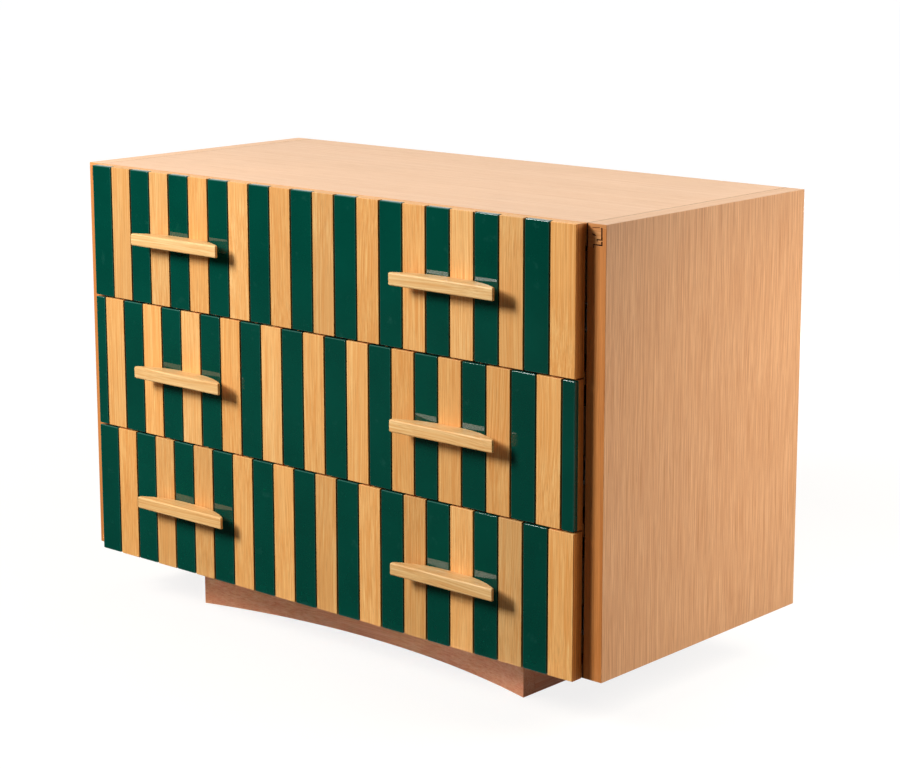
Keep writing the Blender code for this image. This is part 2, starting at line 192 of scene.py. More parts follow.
# Studio. The floor's own light fades from near to far over a range of distances. The card's outline is
# in y and z.
WHITE = (1.0, 1.0, 1.0, 1.0)
FLOOR_HALF = 30.0
FLOOR_DROP = 0.0005
FLOOR_FADE = (1.2, 3.5)
FLOOR_LIGHT = (0.84, 1.0)
CARD_HALF = 9.0
CARD_OUTLINE = ((-0.27, 0.001), (-4.6, 0.001), (-4.8, 0.05), (-4.9, 2.2))
CARD_TONES = (0.010, 0.016)

# Lights, as name, setting of the power, place, target, size, tint and angle of the beam
MIDDLE = (0.0, 0.0, 0.45)
NEUTRAL = (1.0, 1.0, 1.0)
WARM = (1.0, 0.97, 0.93)
WIDE = math.pi
NARROW = math.radians(5)
LIGHTS = (
    ("Key light", "key_power", (-1.65, -2.95, 2.33), MIDDLE, (0.95, 0.95), (1.0, 0.995, 0.985), WIDE),
    ("Upper light", "upper_power", (-1.3, -2.4, 2.7), MIDDLE, (0.9, 0.9), WARM, WIDE),
    ("Plinth light", "plinth_power", (-1.3, -1.6, 0.05), (0.0, -0.15, 0.035), (1.2, 0.05), WARM, NARROW),
    ("Side light", "side_power", (2.1, 2.45, 1.4), MIDDLE, (1.2, 1.2), (1.0, 0.96, 0.90), WIDE),
    ("Back light", "back_power", (-0.6, 3.2, 0.55), (-0.1, 0.3, 0.45), (1.4, 0.5), (1.0, 0.98, 0.95), WIDE),
    ("Overhead light", "top_power", (0.1, 0.5, 2.7), MIDDLE, (2.0, 1.4), NEUTRAL, WIDE),
    ("Floor light", "floor_power", (1.7, 0.55, 1.1), (1.7, 0.55, 0.0), (1.1, 1.0), NEUTRAL, WIDE),
)

# Camera
CAMERA_PLACE = (2.69862, -2.96703, 1.32704)
CAMERA_YAW = 0.72473
CAMERA_PITCH = 0.18928
CAMERA_ROLL = -0.00112
CAMERA_LENS = 92.309
CAMERA_SHIFT = -0.07


# Settings

def rounding(name, place, default):
    return FloatProperty(
        name=name, description="Rounding of the " + place, default=default, min=0.0, precision=5,
        unit="LENGTH",
    )


def power(name, light, default):
    return FloatProperty(
        name=name, description="Power of the " + light, default=default, min=0.0, unit="POWER",
    )


def colour(name, description, default):
    return FloatVectorProperty(
        name=name, description=description, default=default, min=0.0, max=1.0, size=3, subtype="COLOR",
    )


class DresserShapes(bpy.types.PropertyGroup):
    """Fine shapes that the frame's solids leave out"""

    panel_edge: rounding("Panel edges", "carcass and plinth edges", 0.0007)
    joint_edge: rounding("Seam edges", "two sides of a glued seam", 0.00025)
    oak_slat_edge: rounding("Oak slat edges", "oak slats' front edges", 0.0009)
    green_slat_edge: rounding("Green slat edges", "lacquered slats' front edges", 0.0016)
    green_slat_corner: rounding("Green slat corners", "lacquered slats' corners, seen from the front", 0.0025)
    handle_corner: rounding("Handle corners", "corners at the handles' free ends", 0.003)
    handle_edge: rounding("Handle edges", "handles' long edges", 0.001)
    box_edge: rounding("Drawer box edges", "drawer boxes' edges", 0.0008)
    steel_edge: rounding("Runner edges", "folded steel runners", 0.0003)


class DresserFinishes(bpy.types.PropertyGroup):
    """Colours of the dresser's woods, lacquer and steel"""

    top_oak: colour("Top", "Oak veneer of the top", (0.83, 0.545, 0.34))
    side_oak: colour("Sides", "Oak veneer of the sides and back", (0.73, 0.388, 0.172))
    edge_oak: colour("Edges", "Solid oak edges of the carcass", (0.71, 0.30, 0.086))
    rail_oak: colour("Rails", "Solid oak of the top's front edge and the rails", (0.82, 0.41, 0.155))
    slat_oak: colour("Oak slats", "Faces of the oak slats", (0.95, 0.585, 0.235))
    # The slats' sides are a darker, redder copy of the slat oak: painted warm shade.
    slat_side_warm_shade: colour("Slat sides", "Sides of the oak slats and their backing boards", (0.92, 0.36, 0.070))
    handle_oak: colour("Handles", "Oak of the handles", (0.96, 0.655, 0.32))
    plinth_oak: colour("Plinth", "Darker oak of the plinth", (0.97, 0.50, 0.28))
    birch: colour("Drawer boxes", "Birch of the drawer boxes", (0.80, 0.62, 0.40))
    green: colour("Lacquer", "Green lacquer of the slats", (0.0008, 0.062, 0.042))
    # The rounded edges' paler lacquer is a painted highlight along them; the slats' pale spots use it too.
    green_edge_highlight: colour("Lacquer edges", "Thin, rubbed lacquer on the rounded edges", (0.015, 0.105, 0.080))
    steel: colour("Steel", "Zinc-plated steel of the runners and screws", (0.50, 0.51, 0.51))
    # Also the colour of the painted shade lines in the gap beside the drawer fronts.
    glue: colour("Glue lines", "Dark lines of the corner joints", (0.055, 0.015, 0.005))


class DresserStudio(bpy.types.PropertyGroup):
    """Light and floor of the plain studio"""

    key_power: power("Key light", "soft light at the upper front left", 127.0)
    upper_power: power(
        "Upper light", "light over the key light, which draws the handles' shadows down", 38.0)
    plinth_power: power("Plinth light", "low, narrow beam on the plinth's front", 0.12)
    side_power: power("Side light", "light behind the right side", 21.0)
    back_power: power("Back light", "low light behind the back panel", 30.0)
    top_power: power("Overhead light", "light over the top", 18.0)
    floor_power: power("Floor light", "light down on the floor at the right side", 34.0)
    ambient: FloatProperty(
        name="Ambient light",
        description="Strength of the light that comes from all around",
        default=0.02, min=0.0,
    )
    floor: colour("Floor", "Colour of the plain floor", (0.20, 0.185, 0.165))


def shapes():
    return bpy.context.scene.dresser_shapes


def finishes():
    return bpy.context.scene.dresser_finishes


# Shader building

def put(tree, kind, sockets=None, **settings):
    """Add a node. Each socket's value is either a constant or another node's output."""
    made = tree.nodes.new("ShaderNode" + kind)
    for key, value in settings.items():
        setattr(made, key, value)
    for key, value in (sockets or {}).items():
        if isinstance(value, bpy.types.NodeSocket):
            tree.links.new(value, made.inputs[key])
        else:
            made.inputs[key].default_value = value
    return made


def math_node(tree, operation, a, b):
    return put(tree, "Math", {0: a, 1: b}, operation=operation).outputs[0]


def product(tree, a, b):
    return math_node(tree, "MULTIPLY", a, b)


def vector_node(tree, operation, a, b):
    return put(tree, "VectorMath", {0: a, 1: b}, operation=operation).outputs[0]


def spread(tree, value, low, high, to_low=0.0, to_high=1.0):
    """Map a value from one range to another, held inside it."""
    sockets = {"Value": value, "From Min": low, "From Max": high, "To Min": to_low, "To Max": to_high}
    return put(tree, "MapRange", sockets).outputs[0]


def between(tree, share, start, end):
    """Turn a share of 0 to 1 into a value between two ends."""
    return spread(tree, share, 0.0, 1.0, start, end)


def mixed(tree, share, a, b, blend="MIX"):
    """Mix two colours by a share."""
    return put(tree, "Mix", {0: share, 6: a, 7: b}, data_type="RGBA", blend_type=blend).outputs[2]


def tinted(tree, base, tint):
    """Multiply two colours."""
    return mixed(tree, 1.0, base, tint, "MULTIPLY")


def noise(tree, place, scale, detail, roughness=0.5):
    sockets = {"Vector": place, "Scale": scale, "Detail": detail, "Roughness": roughness}
    return put(tree, "TexNoise", sockets).outputs[0]


def new_group(name, vectors, floats, outputs):
    """A node group with named inputs and outputs that are floats. Returns it, its inputs and its outputs."""
    tree = bpy.data.node_groups.new(name, "ShaderNodeTree")
    sockets = (("INPUT", "Vector", vectors), ("INPUT", "Float", floats), ("OUTPUT", "Float", outputs))
    for direction, kind, names in sockets:
        for socket in names:
            tree.interface.new_socket(name=socket, in_out=direction, socket_type="NodeSocket" + kind)
    return tree, tree.nodes.new("NodeGroupInput").outputs, tree.nodes.new("NodeGroupOutput").inputs


def oak_grain_group():
    """Straight grain: soft bands, fine streaks, open pores, and the height that they give."""
    name = "Straight Grain"
    if name in bpy.data.node_groups:
        return bpy.data.node_groups[name]
    tree, given, results = new_group(
        name, ("Position", "Run", "Pore Run"), ("Board", "Wander", "Streak Scale"),
        ("Bands", "Streaks", "Pores", "Height"))
    shifts = [product(tree, given["Board"], share) for share in BOARD_SHIFT]
    shift = put(tree, "CombineXYZ", dict(enumerate(shifts))).outputs[0]
    place = vector_node(tree, "ADD", given["Position"], shift)
    wander = put(tree, "TexNoise", {"Vector": place, "Scale": WANDER_SCALE, "Detail": 1.0}).outputs[1]
    wander = put(tree, "VectorMath", {0: wander, "Scale": given["Wander"]}, operation="SCALE").outputs[0]
    place = vector_node(tree, "ADD", place, wander)
    stretched = vector_node(tree, "MULTIPLY", place, given["Run"])
    pored = vector_node(tree, "MULTIPLY", place, given["Pore Run"])
    band_scale = product(tree, given["Streak Scale"], BAND_SCALE)
    bands = spread(tree, noise(tree, stretched, band_scale, detail=2.0), *BAND_RANGE)
    streaks = noise(tree, stretched, given["Streak Scale"], detail=3.0, roughness=0.6)
    streaks = spread(tree, streaks, *STREAK_RANGE)
    pores = noise(tree, pored, PORE_SCALE, detail=2.0, roughness=0.55)
    pores = spread(tree, pores, *PORE_RANGE)
    tree.links.new(bands, results["Bands"])
    tree.links.new(streaks, results["Streaks"])
    tree.links.new(pores, results["Pores"])
    height = math_node(tree, "SUBTRACT", product(tree, streaks, STREAK_HEIGHT), pores)
    tree.links.new(height, results["Height"])
    return tree


def handled_surface_group():
    """Slow clouds and fine unevenness that polish, wiping and handling leave on a surface."""
    name = "Handled Surface"
    if name in bpy.data.node_groups:
        return bpy.data.node_groups[name]
    tree, given, results = new_group(
        name, ("Position",), ("Cloud Scale", "Fine Scale"), ("Clouds", "Fine", "Height"))
    clouds = noise(tree, given["Position"], given["Cloud Scale"], detail=3.0, roughness=0.55)
    clouds = spread(tree, clouds, *HANDLED_RANGE)
    fine = noise(tree, given["Position"], given["Fine Scale"], detail=2.0, roughness=0.6)
    fine = spread(tree, fine, *HANDLED_RANGE)
    tree.links.new(clouds, results["Clouds"])
    tree.links.new(fine, results["Fine"])
    tree.links.new(math_node(tree, "ADD", clouds, product(tree, fine, FINE_HEIGHT)), results["Height"])
    return tree


def board_chance_group():
    """Two random numbers for a board, the same all over it: for its level and for its warmth."""
    name = "Board Chance"
    if name in bpy.data.node_groups:
        return bpy.data.node_groups[name]
    tree, given, results = new_group(name, (), ("Board",), ("Level", "Warmth"))
    random = put(tree, "TexWhiteNoise", {"W": given["Board"]}, noise_dimensions="1D").outputs
    tree.links.new(random["Value"], results["Level"])
    tree.links.new(put(tree, "SeparateColor", {0: random["Color"]}).outputs[1], results["Warmth"])
    return tree


def grouped(tree, group, sockets):
    return put(tree, "Group", sockets, node_tree=group).outputs


def handled(tree, place, cloud_scale, fine_scale):
    sockets = {"Position": place, "Cloud Scale": cloud_scale, "Fine Scale": fine_scale}
    return grouped(tree, handled_surface_group(), sockets)


def board_mark(tree):
    return put(tree, "Attribute", attribute_name="board").outputs["Fac"]


def new_material(name):
    """A material with a bare Principled shader, and the place on the piece that its patterns use."""
    made = bpy.data.materials.new(name)
    made.use_nodes = True
    tree = made.node_tree
    shader = tree.nodes["Principled BSDF"]
    place = put(tree, "TexCoord").outputs["Object"]
    return made, tree, shader, place


def finish(tree, shader, base, rough, height, strength, distance):
    """Join a colour, a roughness and the bump that a height gives to a shader."""
    tree.links.new(base, shader.inputs["Base Color"])
    tree.links.new(rough, shader.inputs["Roughness"])
    bump = put(tree, "Bump", {"Height": height, "Strength": strength, "Distance": distance})
    tree.links.new(bump.outputs[0], shader.inputs["Normal"])


def axis_run(axis, along):
    """A stretch along one axis, for patterns that are longer that way."""
    run = [1.0, 1.0, 1.0]
    run[AXES[axis]] = along
    return run


def shade(tint, share):
    return (*[channel * share for channel in tint], 1.0)


def clouded(tree, hand, tint, low, high):
    """A tint that the clouds of a handled surface make darker and lighter."""
    return mixed(tree, hand["Clouds"], shade(tint, low), shade(tint, high))


def wood(name, tint, axis, deep=(0.84, 0.68, 0.50), pore=0.60, streak_scale=440.0, along=0.004,
         roughness=0.44, contrast=1.0, banding=0.45, specular=0.3, variety=0.10, wander=0.012):
    """A straight-grained wood whose grain runs along one axis. deep is each channel's share in the dark
    streaks, and pore the share that is left of that in open pores."""
    if name in bpy.data.materials:
        return bpy.data.materials[name]
    made, tree, shader, place = new_material(name)
    board = board_mark(tree)
    chance = grouped(tree, board_chance_group(), {"Board": board})
    hand = handled(tree, place, cloud_scale=3.5, fine_scale=160.0)
    grain = grouped(tree, oak_grain_group(), {
        "Position": place,
        "Run": axis_run(axis, along),
        "Pore Run": axis_run(axis, PORE_ALONG),
        "Board": board,
        "Wander": wander,
        "Streak Scale": streak_scale,
    })
    light = (*[min(channel * LIGHT_STREAK, 1.0) for channel in tint], 1.0)
    dark = (*[channel * fall for channel, fall in zip(tint, deep)], 1.0)
    pore_tint = shade(dark[:3], pore)
    band_tint = (*[1.0 - (1.0 - fall) * banding * contrast for fall in deep], 1.0)
    base = mixed(tree, product(tree, grain["Streaks"], contrast), light, dark)
    base = mixed(tree, product(tree, grain["Pores"], PORE_STRENGTH * contrast), base, pore_tint)
    base = tinted(tree, base, mixed(tree, grain["Bands"], WHITE, band_tint))
    level = between(tree, chance["Level"], 1.0 - variety, 1.0 + variety * LIGHTER_BOARD)
    level = product(tree, level, between(tree, hand["Clouds"], *CLOUD_LEVELS))
    green = between(tree, chance["Warmth"], 1.0, 1.0 - variety * WARM_GREEN)
    blue = between(tree, chance["Warmth"], 1.0 + variety * COOL_BLUE, 1.0 - variety)
    channels = {0: level, 1: product(tree, level, green), 2: product(tree, level, blue)}
    base = tinted(tree, base, put(tree, "CombineColor", channels).outputs[0])
    rough = between(tree, grain["Streaks"], roughness - SMOOTHER_WOOD, roughness + ROUGHER_WOOD)
    rough = math_node(tree, "ADD", rough, product(tree, grain["Pores"], ROUGHER_PORE))
    shader.inputs["Specular IOR Level"].default_value = specular
    finish(tree, shader, base, rough, grain["Height"], strength=0.22, distance=0.0004)
    return made


def lacquer(name, tint, bloom, coat):
    """A deep, glossy lacquer with faint clouds and a few pale rubbed spots. bloom is the spots' colour,
    coat the mean weight of the clear coat."""
    if name in bpy.data.materials:
        return bpy.data.materials[name]
    made, tree, shader, place = new_material(name)
    chance = grouped(tree, board_chance_group(), {"Board": board_mark(tree)})
    hand = handled(tree, place, cloud_scale=9.0, fine_scale=70.0)
    spots = noise(tree, place, scale=38.0, detail=3.0, roughness=0.7)
    spots = spread(tree, spots, *SPOT_RANGE, to_high=SPOT_STRENGTH)
    base = mixed(tree, spots, clouded(tree, hand, tint, 0.90, 1.10), shade(bloom, 1.0))
    level = between(tree, chance["Level"], *LACQUER_LEVELS)
    base = tinted(tree, base, put(tree, "CombineColor", {0: level, 1: level, 2: level}).outputs[0])
    coat_weight = between(tree, hand["Fine"], coat - COAT_CHANGE, coat + COAT_CHANGE)
    tree.links.new(coat_weight, shader.inputs["Coat Weight"])
    shader.inputs["Coat Roughness"].default_value = 0.03
    shader.inputs["Coat IOR"].default_value = 1.85
    shader.inputs["Specular IOR Level"].default_value = 0.0
    rough = between(tree, hand["Clouds"], *LACQUER_ROUGHNESS)
    finish(tree, shader, base, rough, hand["Height"], strength=0.04, distance=0.0002)
    return made


def zinc_steel():
    """Zinc-plated steel, drawn along the runners."""
    name = "zinc_steel"
    if name in bpy.data.materials:
        return bpy.data.materials[name]
    made, tree, shader, place = new_material(name)
    drawn = vector_node(tree, "MULTIPLY", place, axis_run("y", along=0.03))
    hand = handled(tree, drawn, cloud_scale=60.0, fine_scale=900.0)
    shader.inputs["Metallic"].default_value = 1.0
    rough = between(tree, hand["Fine"], *STEEL_ROUGHNESS)
    finish(tree, shader, clouded(tree, hand, finishes().steel, 0.86, 1.08), rough, hand["Fine"],
           strength=0.12, distance=0.0001)
    return made


def joint_glue():
    """Darkened glue and end grain in a joint's lines, and painted shade in the gap by the drawer fronts."""
    name = "joint_glue"
    if name in bpy.data.materials:
        return bpy.data.materials[name]
    made, tree, shader, place = new_material(name)
    hand = handled(tree, place, cloud_scale=250.0, fine_scale=1500.0)
    shader.inputs["Specular IOR Level"].default_value = 0.05
    rough = between(tree, hand["Fine"], *GLUE_ROUGHNESS)
    finish(tree, shader, clouded(tree, hand, finishes().glue, 0.6, 1.6), rough, hand["Height"],
           strength=0.3, distance=0.0002)
    return made


def top_oak(name, axis):
    return wood(name, finishes().top_oak, axis, deep=(0.95, 0.88, 0.79), contrast=0.7, roughness=0.42,
                specular=0.15)


def side_veneer():
    return wood("side_veneer", finishes().side_oak, "z", deep=(0.76, 0.61, 0.44), streak_scale=760.0,
                along=0.010, banding=0.10, roughness=0.42, contrast=1.1, specular=0.5)


def carcass_edge():
    return wood("carcass_edge_oak", finishes().edge_oak, "z")


def rail_oak():
    return wood("rail_oak", finishes().rail_oak, "x")


def slat_oak():
    return wood("slat_oak", finishes().slat_oak, "z", deep=(0.88, 0.69, 0.48), streak_scale=620.0,
                banding=0.18, roughness=0.42, contrast=1.25, variety=0.20, wander=0.030)


# Darker and redder than the slats' faces: painted warm shade on the slats' sides and the boards' ends.
def slat_side_warm_shade():
    return wood("slat_side_oak", finishes().slat_side_warm_shade, "z", deep=(0.55, 0.45, 0.35), streak_scale=330.0,
                banding=0.8, roughness=0.55)


def handle_oak():
    return wood("handle_oak", finishes().handle_oak, "x", deep=(0.84, 0.69, 0.50), streak_scale=360.0,
                along=0.012, roughness=0.40, wander=0.035)


def plinth_oak(axis):
    return wood("plinth_oak_" + axis, finishes().plinth_oak, axis, deep=(0.86, 0.63, 0.50), roughness=0.48)


def birch(axis):
    return wood("birch_" + axis, finishes().birch, axis, deep=(0.95, 0.91, 0.86), pore=0.8, roughness=0.5,
                contrast=0.6)


def green_lacquer():
    return lacquer("green_lacquer", finishes().green, finishes().green_edge_highlight, coat=0.88)


# The rounded edges' paler lacquer with less coat: a painted highlight.
def green_edge_highlight():
    return lacquer("green_lacquer_edge", finishes().green_edge_highlight, finishes().green_edge_highlight, coat=0.40)


# Mesh making

def solid_of(node):
    """A frame solid's shape as a new bmesh, its flat faces joined up again."""
    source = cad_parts[node].data
    bm = bmesh.new()
    corners = [bm.verts.new(vertex.co) for vertex in source.vertices]
    for polygon in source.polygons:
        bm.faces.new([corners[index] for index in polygon.vertices])
    bmesh.ops.remove_doubles(bm, verts=bm.verts, dist=WELD)
    bmesh.ops.dissolve_limit(bm, angle_limit=FLAT_ANGLE, verts=bm.verts, edges=bm.edges)
    return bm


def looks_along(face, axis):
    """Whether a face looks along an axis, either way."""
    return abs(face.normal[AXES[axis]]) > FACING_SHARE


def mark_board(bm, faces, board):
    """Mark faces with the board that they belong to, so that each board has its own grain."""
    layer = bm.faces.layers.float.get("board") or bm.faces.layers.float.new("board")
    for face in faces:
        face[layer] = board


def prism_into(bm, outline, run, board=0.0):
    """Add an outline of 3D points extruded along the vector run. Returns its faces. The layer of board
    marks is made before them, because a new layer would void them."""
    mark_board(bm, [], board)
    before = set(bm.faces)
    face = bm.faces.new([bm.verts.new(point) for point in outline])
    extruded = bmesh.ops.extrude_face_region(bm, geom=[face])
    moved = [item for item in extruded["geom"] if isinstance(item, bmesh.types.BMVert)]
    bmesh.ops.translate(bm, vec=run, verts=moved)
    made = [face for face in bm.faces if face not in before]
    bmesh.ops.recalc_face_normals(bm, faces=made)
    mark_board(bm, made, board)
    return made


def box_into(bm, low, high, board=0.0):
    outline = [(low[0], low[1], low[2]), (high[0], low[1], low[2]), (high[0], high[1], low[2]),
               (low[0], high[1], low[2])]
    return prism_into(bm, outline, (0.0, 0.0, high[2] - low[2]), board)


def mesh_from(name, bm, materials=()):
    """Turn a bmesh into a mesh with its materials."""
    mesh = bpy.data.meshes.new(name)
    bm.to_mesh(mesh)
    bm.free()
    for material in materials:
        mesh.materials.append(material)
    return mesh


def add_object(name, data):
    made = bpy.data.objects.new(name, data)
    bpy.context.scene.collection.objects.link(made)
    return made


def add_piece(name, bm, materials, body, nodes, edge, segments=EDGE_SEGMENTS, weight=None):
    """Turn a bmesh into a piece with rounded edges that rides on a body and stands for frame nodes.
    weight gives an edge's share of the rounding, and with 0 the edge stays sharp."""
    layer = bm.edges.layers.float.new("bevel_weight_edge")
    bm.normal_update()
    for face in bm.faces:
        face.smooth = True
    for line in bm.edges:
        if line.calc_face_angle(0.0) > SHARP_ANGLE:
            share = 1.0 if weight is None else weight(line)
            line[layer] = share
            line.smooth = share > 0.0
    piece = add_object(name, mesh_from(name, bm, materials))
    if edge > 0.0:
        bevel = piece.modifiers.new("Rounded edges", "BEVEL")
        bevel.width = edge
        bevel.segments = segments
        bevel.limit_method = "WEIGHT"
        bevel.harden_normals = True
    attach(piece, body)
    if nodes:
        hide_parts(*nodes)
    return piece


def dress(node, body, material, edge, board=0.0):
    """Build a piece over a frame solid in the solid's own shape, with rounded edges and its finish."""
    bm = solid_of(node)
    mark_board(bm, bm.faces, board)
    add_piece(node + "_piece", bm, [material], body, [node], edge)


# Carcass

def build_top():
    """The top as a field between two edge strips, which step down over the side panels."""
    low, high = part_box("top_panel")
    seam = high.x - PANEL_THICKNESS
    half_length = high.x - JOINT_LIP - SEAT_GAP
    cap = high.z - JOINT_CAP
    shoulder = high.z - JOINT_SHOULDER_DROP
    short = max(vertex.co.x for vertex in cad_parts["top_panel"].data.vertices
                if vertex.co.z < shoulder - WELD)
    run = (0.0, high.y - JOINT_LINE_PROUD - low.y, 0.0)
    bm = bmesh.new()
    inner = seam - STRIP_GAP
    field = [(-inner, high.z), (inner, high.z), (inner, low.z), (-inner, low.z)]
    prism_into(bm, [(x, low.y, z) for x, z in field], run)
    looks = {
        "field": top_oak("top_veneer", "x"),
        "strip": top_oak("top_edge_strip", "y"),
        "edge": rail_oak(),
        "lip": side_veneer(),
    }
    place_of = list(looks).index
    profile = [(seam + STRIP_GAP, high.z), (high.x, high.z), (high.x, cap), (half_length, cap),
               (half_length, shoulder), (short, shoulder), (short, low.z), (seam + STRIP_GAP, low.z)]
    for side, sign in SIDES.items():
        outline = [(sign * x, low.y, z) for x, z in profile]
        for face in prism_into(bm, outline, run, STRIP_BOARDS[side]):
            face.material_index = place_of("strip")
            if abs(face.calc_center_median().x) > high.x - WELD:
                face.material_index = place_of("lip")
                mark_board(bm, [face], SIDE_BOARDS[side])
    bm.normal_update()
    for face in bm.faces:
        if looks_along(face, "y"):
            face.material_index = place_of("edge")

    def weight(line):
        ends = [vertex.co for vertex in line.verts]
        if all(abs(point.z - cap) < WELD for point in ends):
            return 0.0
        if all(abs(point.x) < high.x - WELD for point in ends):
            return shapes().joint_edge / shapes().panel_edge
        return 1.0

    add_piece("top_panel_piece", bm, list(looks.values()), "carcass", ["top_panel"],
              shapes().panel_edge, weight=weight)


def build_side(side):
    """A side panel, whose lip runs up to the top's edge strip without a seam."""
    node = side + "_side_panel"
    low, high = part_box(node)
    lip = high.z
    bm = solid_of(node)
    for vertex in bm.verts:
        if abs(vertex.co.z - lip) < WELD:
            vertex.co.z += SEAT_GAP - WELD
        if abs(vertex.co.y - high.y) < WELD:
            vertex.co.y -= JOINT_LINE_PROUD
    joined = lip + SEAT_GAP - WELD
    mark_board(bm, bm.faces, SIDE_BOARDS[side])
    bm.normal_update()
    for face in bm.faces:
        face.material_index = int(looks_along(face, "y"))
    inner_reach = high.x - PANEL_THICKNESS if side == "right" else low.x + PANEL_THICKNESS

    def weight(line):
        ends = [vertex.co for vertex in line.verts]
        if any(abs(point.z - joined) < WELD for point in ends) and all(
                point.z > joined - JOINT_LIP for point in ends):
            return 0.0
        if all(point.z > lip - PANEL_THICKNESS for point in ends):
            return shapes().joint_edge / shapes().panel_edge
        if all(abs(point.x - inner_reach) > WELD and low.x + WELD < point.x < high.x - WELD
               for point in ends):
            return 0.0
        return 1.0

    add_piece(node + "_piece", bm, [side_veneer(), carcass_edge()], "carcass", [node],
              shapes().panel_edge, weight=weight)


def build_joint_lines():
    """The dark lines of the four corner joints on the front and back edges of the side panels, and the
    painted shade lines of the gap beside the drawer fronts.
    """
    low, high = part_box("top_panel")
    front = (low.y - JOINT_LINE_PROUD, JOINT_LINE_DEPTH)
    back = (high.y, -JOINT_LINE_DEPTH)
    marks = [(line, (front, back)) for line in JOINT_LINES]
    # Painted shade lines of the gap beside the drawer fronts, over the rails' ends.
    for name in RAIL_BOARDS:
        rail_low, rail_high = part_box(name)
        line = ((GAP_SHADE_PLACE, high.z - rail_high.z), (GAP_SHADE_PLACE, high.z - rail_low.z), GAP_SHADE_WIDTH)
        marks.append((line, (front,)))
    bm = bmesh.new()
    for sign in SIDES.values():
        for ((in_a, down_a), (in_b, down_b), wide), faces in marks:
            start = Vector((sign * (high.x - in_a), 0.0, high.z - down_a))
            end = Vector((sign * (high.x - in_b), 0.0, high.z - down_b))
            run = (end - start).normalized() * (wide / 2)
            across = Vector((-run.z, 0.0, run.x))
            corners = [start - across, end - across, end + across, start + across]
            for near, depth in faces:
                prism_into(bm, [(point.x, near, point.z) for point in corners], (0.0, depth, 0.0))
        seam = high.x - PANEL_THICKNESS
        box_into(bm, (sign * seam - STRIP_GAP, low.y + GLUE_INSET, low.z + GLUE_INSET),
                 (sign * seam + STRIP_GAP, high.y - GLUE_INSET, high.z - GLUE_INSET))
    add_piece("corner_joint_lines", bm, [joint_glue()], "carcass", [], 0.0)


class DRESSER_OT_carcass(bpy.types.Operator):
    """Build the top, the sides, the bottom, the back and the front rails"""
    bl_idname = "dresser.carcass"
    bl_label = "Carcass"

    def execute(self, context):
        edge = shapes().panel_edge
        build_top()
        for side in SIDES:
            build_side(side)
        build_joint_lines()
        bottom = wood("bottom_veneer", finishes().side_oak, "x")
        dress("bottom_panel", "carcass", bottom, edge, BOTTOM_BOARD)
        dress("back_panel", "carcass", side_veneer(), edge, BACK_BOARD)
        for name, board in RAIL_BOARDS.items():
            dress(name, "carcass", rail_oak(), edge, board)
        return {"FINISHED"}


# Plinth

def arc_depth(x, half, sagitta):
    """How far an arc lies behind its two ends at a distance x from the middle."""
    radius = (half ** 2 + sagitta ** 2) / (2 * sagitta)
    return math.sqrt(radius ** 2 - x ** 2) - (radius - sagitta)


def build_plinth_front():
    low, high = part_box("plinth_front")
    outer = []
    for step in range(PLINTH_ARC_STEPS + 1):
        x = high.x * (2 * step / PLINTH_ARC_STEPS - 1)
        outer.append((x, low.y + arc_depth(x, high.x, PLINTH_SAGITTA), low.z))
    inner = [(x, y + PLINTH_THICKNESS, z) for x, y, z in reversed(outer)]
    bm = bmesh.new()
    prism_into(bm, outer + inner, (0.0, 0.0, high.z - low.z), PLINTH_FRONT_BOARD)
    add_piece("plinth_front_piece", bm, [plinth_oak("x")], "carcass", ["plinth_front"],
              shapes().panel_edge)


class DRESSER_OT_plinth(bpy.types.Operator):
    """Build the recessed plinth with its curved front"""
    bl_idname = "dresser.plinth"
    bl_label = "Plinth"

    def execute(self, context):
        edge = shapes().panel_edge
        build_plinth_front()
        dress("plinth_back", "carcass", plinth_oak("x"), edge, PLINTH_BACK_BOARD)
        for side, board in PLINTH_SIDE_BOARDS.items():
            dress("plinth_" + side + "_side", "carcass", plinth_oak("y"), edge, board)
        return {"FINISHED"}


# Drawer fronts

def slat_places(low_x, high_x, starts_with_half):
    """Left and right ends of the slats across a front, gaps left out."""
    pitch = (high_x - low_x) / 2 / SLAT_PAIRS
    places = [low_x]
    place = low_x + (pitch / 2 if starts_with_half else pitch)
    while place < high_x - pitch / 4:
        places.append(place)
        place += pitch
    places.append(high_x)
    slats = []
    for left, right in zip(places, places[1:]):
        start = left if left == low_x else left + SLAT_GAP / 2
        end = right if right == high_x else right - SLAT_GAP / 2
        slats.append((start, end))
    return slats


